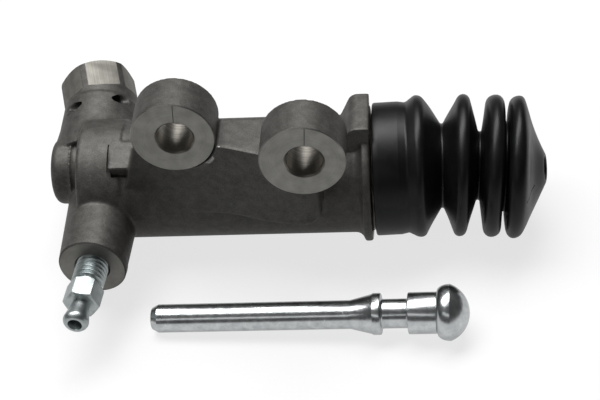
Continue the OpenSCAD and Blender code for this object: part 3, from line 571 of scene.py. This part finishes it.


# %% [markdown]
# Gravity-cast aluminium leaves the mould with a dull skin that has a grain like fine sandpaper. To the eye
# it is a warm dark grey with lighter and darker patches of 2 to 3 mm, where the metal cooled at different
# speeds, a grain of about 0.6 mm and small dark specks. Small bright specks beside them are painted glints,
# which stand for the sparkle of the metal's grains. The real grain is finer still, but it wouldn't show at
# this size of picture. Half of the shine is that of metal, half that of its dull oxide.

# %% Cast skin
PATCHES, GRAIN, PITS = 420.0, 1700.0, 3600.0  # 2.4 mm, 0.6 mm and 0.28 mm
cast, tree, shader = material("gravity_cast_aluminium")
coords = add(tree, "TexCoord").outputs["Object"]
patches = add(tree, "TexNoise", {"Vector": coords, "Scale": PATCHES, "Detail": 6.0, "Roughness": 0.62})
grain = add(tree, "TexNoise", {"Vector": coords, "Scale": GRAIN, "Detail": 2.0, "Roughness": 0.65})
pits = add(tree, "TexNoise", {"Vector": coords, "Scale": PITS, "Detail": 1.0, "Roughness": 0.5})
base = add(tree, "ValToRGB", {"Fac": patches.outputs["Fac"]}, [(0.32, colour("#413f3c")), (0.68, colour("#565451"))])
# the dark half of this ramp darkens small specks of the skin; its bright half, above 1, paints glints for the metal's
# sparkle
specks_and_glints = add(tree, "ValToRGB", {"Fac": pits.outputs["Fac"]}, [(0.35, grey(0.8)), (0.5, grey(1)), (0.68, grey(1.3))])
mixed = add(tree, "MixRGB", {"Fac": 1.0, "Color1": base.outputs["Color"], "Color2": specks_and_glints.outputs["Color"]},
            blend_type="MULTIPLY")
tree.links.new(mixed.outputs["Color"], shader.inputs["Base Color"])
shader.inputs["Metallic"].default_value = 0.5
shader.inputs["Roughness"].default_value = 0.55
rough_skin = add(tree, "Bump", {"Height": grain.outputs["Fac"], "Strength": 0.3, "Distance": 0.0001})
pitted_skin = add(tree, "Bump", {"Height": pits.outputs["Fac"], "Strength": 0.25, "Distance": 0.00004,
                                 "Normal": rough_skin.outputs["Normal"]})
tree.links.new(pitted_skin.outputs["Normal"], shader.inputs["Normal"])

# %% [markdown]
# A faced, drilled or turned surface is bare metal, brighter than the skin. The tool has left fine marks on
# it: rings round the axis on a face, steps along it in a hole, and strokes where a flat was milled. A
# Mapping node carries the pattern to the axis of the cut and turns metres into millimetres there, and a
# slow noise bends the marks a little, as the give of a real machine does.

# %% Machined aluminium
BLOTCH = 260.0  # 4 mm


def on_axis(tree, axis_place):
    """Coordinates of the piece, and the same in millimetres about an axis of the machining."""
    local = (Matrix.Scale(MM, 4) @ axis_place).inverted()
    coords = add(tree, "TexCoord").outputs["Object"]
    mapped = add(tree, "Mapping", {"Vector": coords, "Location": local.to_translation(), "Rotation": local.to_euler(),
                                   "Scale": (1000, 1000, 1000)})
    split = add(tree, "SeparateXYZ", {"Vector": mapped.outputs["Vector"]})
    return coords, mapped.outputs["Vector"], split.outputs


def machined(name, tint, axis_place, lines, rough, line_mm, strength):
    """Bare metal with tool marks: "rings" round an axis, "steps" along it for a drill, or "strokes" along it."""
    m, tree, shader = material(name)
    coords, mapped, axes = on_axis(tree, axis_place)
    if lines == "steps":
        distance = axes["Z"]
    elif lines == "strokes":
        distance = add(tree, "Math", {0: axes["Y"], 1: axes["X"]}, operation="ADD").outputs["Value"]
    else:
        flat = add(tree, "CombineXYZ", {"X": axes["X"], "Y": axes["Y"]})
        distance = add(tree, "VectorMath", {0: flat.outputs["Vector"]}, operation="LENGTH").outputs["Value"]
    warp = add(tree, "TexNoise", {"Vector": mapped, "Scale": 0.6, "Detail": 2.0})
    far = add(tree, "Math", {0: warp.outputs["Fac"], 1: 0.35, 2: distance}, operation="MULTIPLY_ADD")
    marks = add(tree, "TexNoise", {"W": far.outputs["Value"], "Scale": 1 / line_mm, "Detail": 3.0, "Roughness": 0.7},
                noise_dimensions="1D")
    blotch = add(tree, "TexNoise", {"Vector": coords, "Scale": BLOTCH, "Detail": 3.0})
    tone = add(tree, "ValToRGB", {"Fac": marks.outputs["Fac"]}, [(0.3, colour(tint[0])), (0.7, colour(tint[1]))])
    cloud = add(tree, "ValToRGB", {"Fac": blotch.outputs["Fac"]}, [(0.3, grey(0.82)), (0.7, grey(1.12))])
    mixed = add(tree, "MixRGB", {"Fac": 1.0, "Color1": tone.outputs["Color"], "Color2": cloud.outputs["Color"]},
                blend_type="MULTIPLY")
    tree.links.new(mixed.outputs["Color"], shader.inputs["Base Color"])
    shader.inputs["Metallic"].default_value = 1.0
    shader.inputs["Roughness"].default_value = rough
    bump = add(tree, "Bump", {"Height": marks.outputs["Fac"], "Strength": strength, "Distance": 0.00004})
    tree.links.new(bump.outputs["Normal"], shader.inputs["Normal"])
    return m


faced = {k: machined("faced_aluminium_" + k, ("#82817d", "#8b8a86"), AT_HOLE[k], "rings", 0.5, 0.35, 0.15)
         for k in LUGS}
drilled = {k: machined("drilled_aluminium_" + k, ("#6e6b66", "#9c9890"), AT_HOLE[k], "steps", 0.42, 0.5, 0.6)
           for k in LUGS}
boss_faced = machined("faced_aluminium_boss", ("#767571", "#807f7b"), AT_BLEED, "rings", 0.5, 0.35, 0.15)
turned_bore = machined("turned_aluminium_bore", ("#8a8680", "#b8b4ac"), ALONG_BORE, "steps", 0.35, 0.4, 0.4)
hex_milled = machined("milled_aluminium_hexagon", ("#77756f", "#8b8983"), AT_INLET, "strokes", 0.6, 0.5, 0.25)

# %% [markdown]
# The drilling for the lock pin is small and deep. Its wall gets a plain near black colour: painted shade,
# for the light that can't reach so deep, over a little dark oxide. It keeps the hole a clear black dot in the picture.

# %% Painted shade in the lock pin's drilling
pin_hole_painted_shade, tree, shader = material("pin_drilling_painted_shade")
# painted shade: the near black base colour stands for the shade deep in the drilling, over some dark oxide
shader.inputs["Base Color"].default_value = colour("#161412")
shader.inputs["Roughness"].default_value = 0.7

# %% [markdown]
# The casting is one mesh with nine finishes, one of them the painted shade in the lock pin's drilling. Which
# finish a face gets follows from where it lies: its centre is carried back to the axis of each cut, where a
# test of its height and radius says whether the tool touched it. The flats of the inlet's hexagon are told by
# their normal, and all else is cast skin.

# %% Give each face of the casting its finish
FINISHES = {"skin": cast, "front face": faced["front"], "rear face": faced["rear"], "front hole": drilled["front"],
            "rear hole": drilled["rear"], "boss": boss_faced, "bore": turned_bore, "hexagon": hex_milled, "pin": pin_hole_painted_shade}
wear(casting, *FINISHES.values())
BACK_TO = {k: (Matrix.Scale(MM, 4) @ m).inverted() for k, m in
           {"front": AT_HOLE["front"], "rear": AT_HOLE["rear"], "boss": AT_BLEED, "inlet": AT_INLET, "bore": ALONG_BORE,
            "pin": PIN}.items()}


def finish_of(centre, normal):
    p = BACK_TO["pin"] @ centre
    if hypot(p.x, p.y) < PIN_R + 0.02:
        return "pin"
    for k in LUGS:
        p = BACK_TO[k] @ centre
        r = hypot(p.x, p.y)
        if abs(p.z) < 0.02 and r < LUG_R + 1 or -0.3 < p.z < 0 and LUG_R - 1 < r < LUG_R + 1:
            return k + " face"
        if -LUG_LEN - 0.8 < p.z < 0.01 and r < HOLE_R + BEVEL + 0.02:
            return k + " hole"
    p = BACK_TO["boss"] @ centre
    r = hypot(p.x, p.y)
    if abs(p.z) < 0.02 and r < 13 or -19 < p.z < 0.01 and r < BLEED_R + BEVEL + 0.02:
        return "boss"
    p = BACK_TO["bore"] @ centre
    if p.z > -0.02 or p.z > -83 and hypot(p.x, p.y) < BORE_R + 1.3:
        return "bore"
    p = BACK_TO["inlet"] @ centre
    if p.z > NECK_LEN - 0.1:
        side = BACK_TO["inlet"].to_3x3() @ normal
        spoke = (degrees(atan2(side.y, side.x)) - INLET_HEX_TURN) % 60
        if min(spoke, 60 - spoke) < 0.5 and abs(side.normalized().z) < 0.02 or abs(p.z - INLET_END) < 0.03:
            return "hexagon"
    return "skin"


order = list(FINISHES)
counts = dict.fromkeys(FINISHES, 0)
for f in casting.data.polygons:
    finish = finish_of(f.center, f.normal)
    f.material_index = order.index(finish)
    counts[finish] += 1
print("faces of each finish:", counts)

# %% [markdown]
# Zinc plating on turned steel is bright, a little blue, and shows the turning as very fine rings. The rod
# is smooth and almost a mirror. The bleed screw is duller and darker, as small plated screws are.

# %% Zinc plating
BLUSH = 420.0  # 2.4 mm


def zinc(name, axis_place, line_mm, rough, tint):
    m, tree, shader = material(name)
    coords, mapped, axes = on_axis(tree, axis_place)
    rings = add(tree, "TexNoise", {"W": axes["Z"], "Scale": 1 / line_mm, "Detail": 3.0, "Roughness": 0.6},
                noise_dimensions="1D")
    blush = add(tree, "TexNoise", {"Vector": coords, "Scale": BLUSH, "Detail": 4.0, "Roughness": 0.6})
    tone = add(tree, "ValToRGB", {"Fac": blush.outputs["Fac"]}, [(0.25, colour(tint[0])), (0.7, colour(tint[1]))])
    tree.links.new(tone.outputs["Color"], shader.inputs["Base Color"])
    shader.inputs["Metallic"].default_value = 1.0
    dull = add(tree, "ValToRGB", {"Fac": blush.outputs["Fac"]}, [(0.3, grey(rough)), (0.75, grey(rough + 0.06))])
    tree.links.new(dull.outputs["Color"], shader.inputs["Roughness"])
    bump = add(tree, "Bump", {"Height": rings.outputs["Fac"], "Strength": 0.25, "Distance": 0.00003})
    tree.links.new(bump.outputs["Normal"], shader.inputs["Normal"])
    return m


BRIGHT, DULL = ("#b4b8ba", "#d8dbdc"), ("#98a0a1", "#bcc2c2")
wear(screw, zinc("zinc_plated_steel_" + screw.name, AT_BLEED, 0.25, 0.38, DULL))
wear(rod, zinc("zinc_plated_steel_" + rod.name, AT_ROD, 0.25, 0.22, BRIGHT))

# %% [markdown]
# Moulded rubber is a matt black with a soft sheen, which its skin of wax and carbon gives it. Its bloom, a
# thin grey film, makes patches of 8 mm, where it is also a little rougher. The fine grain of 0.4 mm is
# that of the mould.

# %% Rubber
BLOOM, MOULD_GRAIN = 120.0, 2600.0  # 8 mm and 0.4 mm
rubber, tree, shader = material("moulded_rubber_black")
coords = add(tree, "TexCoord").outputs["Object"]
bloom = add(tree, "TexNoise", {"Vector": coords, "Scale": BLOOM, "Detail": 5.0, "Roughness": 0.65})
fine = add(tree, "TexNoise", {"Vector": coords, "Scale": MOULD_GRAIN, "Detail": 2.0})
tone = add(tree, "ValToRGB", {"Fac": bloom.outputs["Fac"]}, [(0.35, colour("#0b0b0c")), (0.75, colour("#141415"))])
tree.links.new(tone.outputs["Color"], shader.inputs["Base Color"])
sheen = add(tree, "ValToRGB", {"Fac": bloom.outputs["Fac"]}, [(0.3, grey(0.34)), (0.75, grey(0.46))])
tree.links.new(sheen.outputs["Color"], shader.inputs["Roughness"])
shader.inputs["Specular IOR Level"].default_value = 0.25
bump = add(tree, "Bump", {"Height": fine.outputs["Fac"], "Strength": 0.25, "Distance": 0.00004})
tree.links.new(bump.outputs["Normal"], shader.inputs["Normal"])
for piece in (boot, nodes["primary_cup"], nodes["secondary_cup"]):
    wear(piece, rubber)

# %% [markdown]
# The pieces inside the bore keep their CAD shape. The piston is hard anodised, which gives it a warm
# grey, and the spring and the stop ring are oiled steel. The spring's seat is plated as the rod is.

# %% Pieces inside the bore
wear(nodes["piston"], machined("hard_anodised_piston", ("#8f887c", "#a39c90"), ALONG_BORE, "steps", 0.4, 0.4, 0.3))
steel = machined("oiled_spring_steel", ("#5c5e60", "#74777a"), ALONG_BORE, "rings", 0.35, 0.5, 0.2)
for name in ("return_spring", "stop_ring"):
    wear(nodes[name], steel)
wear(nodes["spring_seat"], zinc("zinc_plated_seat", ALONG_BORE, 0.4, 0.25, BRIGHT))

# %% [markdown]
# The floor is a pale sheet that reads as white to the camera, yet keeps a soft shadow: its paper is mid
# grey, and a glow that only the camera and reflections see lifts it to white. So no light from it falls
# on the part's underside.

# %% Floor
bpy.ops.mesh.primitive_plane_add(size=4, location=(0, 0, FLOOR * MM - 0.00005))
floor = bpy.context.object
floor.name = "studio_floor"
paper, tree, shader = material("pale_paper")
shader.inputs["Base Color"].default_value = colour("#808080")
shader.inputs["Roughness"].default_value = 0.9
shader.inputs["Specular IOR Level"].default_value = 0.1
path = add(tree, "LightPath")
mirrored = add(tree, "Math", {0: path.outputs["Is Glossy Ray"], 1: 0.5}, operation="MULTIPLY")
seen = add(tree, "Math", {0: path.outputs["Is Camera Ray"], 1: 0.74, 2: mirrored.outputs["Value"]},
           operation="MULTIPLY_ADD")
glow = add(tree, "Emission", {"Color": grey(1), "Strength": seen.outputs["Value"]})
total = add(tree, "AddShader", {0: shader.outputs["BSDF"], 1: glow.outputs["Emission"]})
tree.links.new(total.outputs["Shader"], tree.nodes["Material Output"].inputs["Surface"])
floor.data.materials.append(paper)

# %% [markdown]
# One broad lamp hangs above and behind the part, so that tops are bright and the near sides fall dark, as
# in the photo. A weak strip in front draws a thin light along the rod and the boot, and a faint grey
# world keeps the darkest places from going black.

# %% Lamps and world
world = bpy.data.worlds.new("studio")
bpy.context.scene.world = world
world.use_nodes = True
background = world.node_tree.nodes["Background"]
background.inputs["Color"].default_value = grey(1)
background.inputs["Strength"].default_value = 0.07


def lamp(name, at, size, power):
    """A soft rectangular lamp that looks at the part."""
    bpy.ops.object.light_add(type="AREA", location=at)
    o = bpy.context.object
    o.name = name
    o.data.shape = "RECTANGLE"
    o.data.size, o.data.size_y = size
    o.data.energy = power
    o.rotation_euler = (Vector((-0.02, 0, 0)) - Vector(at)).to_track_quat("-Z", "Y").to_euler()


lamp("key_softbox", (-0.22, 0.3, 1.05), (1.3, 0.6), 20.5)
lamp("front_strip", (-0.35, -0.7, 0.5), (0.6, 0.12), 0.3)

# %% [markdown]
# The camera stands where the photographer stood. Its place was worked out from the holes, rims and axes
# that the photo and the CAD model share: a 90 mm lens, 42 degrees above the ground and 6 degrees round.
# The three vectors are the camera's own axes, and the origin of the part lies a little off the middle of
# the picture.

# %% Camera
BACK = Vector((0.08326, -0.73647, 0.67134))
RIGHT = Vector((0.99619, 0.04400, -0.07529))
UPWARD = Vector((0.02591, 0.67505, 0.73733))
LENS, SENSOR, DISTANCE = 90, 36, 0.450
FRAME_W, FRAME_H = 600, 400
ORIGIN_X, ORIGIN_Y = 372.0, 172.643
pixel = DISTANCE * SENSOR / LENS / FRAME_W
centre = BACK * DISTANCE + RIGHT * (FRAME_W / 2 - ORIGIN_X) * pixel - UPWARD * (FRAME_H / 2 - ORIGIN_Y) * pixel
bpy.ops.object.camera_add(location=centre)
camera = bpy.context.object
camera.data.sensor_width = SENSOR
camera.data.lens = LENS
camera.data.clip_start, camera.data.clip_end = 0.01, 10
camera.matrix_world = Matrix(((RIGHT.x, UPWARD.x, BACK.x, centre.x), (RIGHT.y, UPWARD.y, BACK.y, centre.y),
                              (RIGHT.z, UPWARD.z, BACK.z, centre.z), (0, 0, 0, 1)))
bpy.context.scene.camera = camera
print("camera at", tuple(round(c, 4) for c in centre))

# %% [markdown]
# The Standard view shows a colour about as it is written.

# %% Finish
bpy.context.scene.view_settings.view_transform = "Standard"
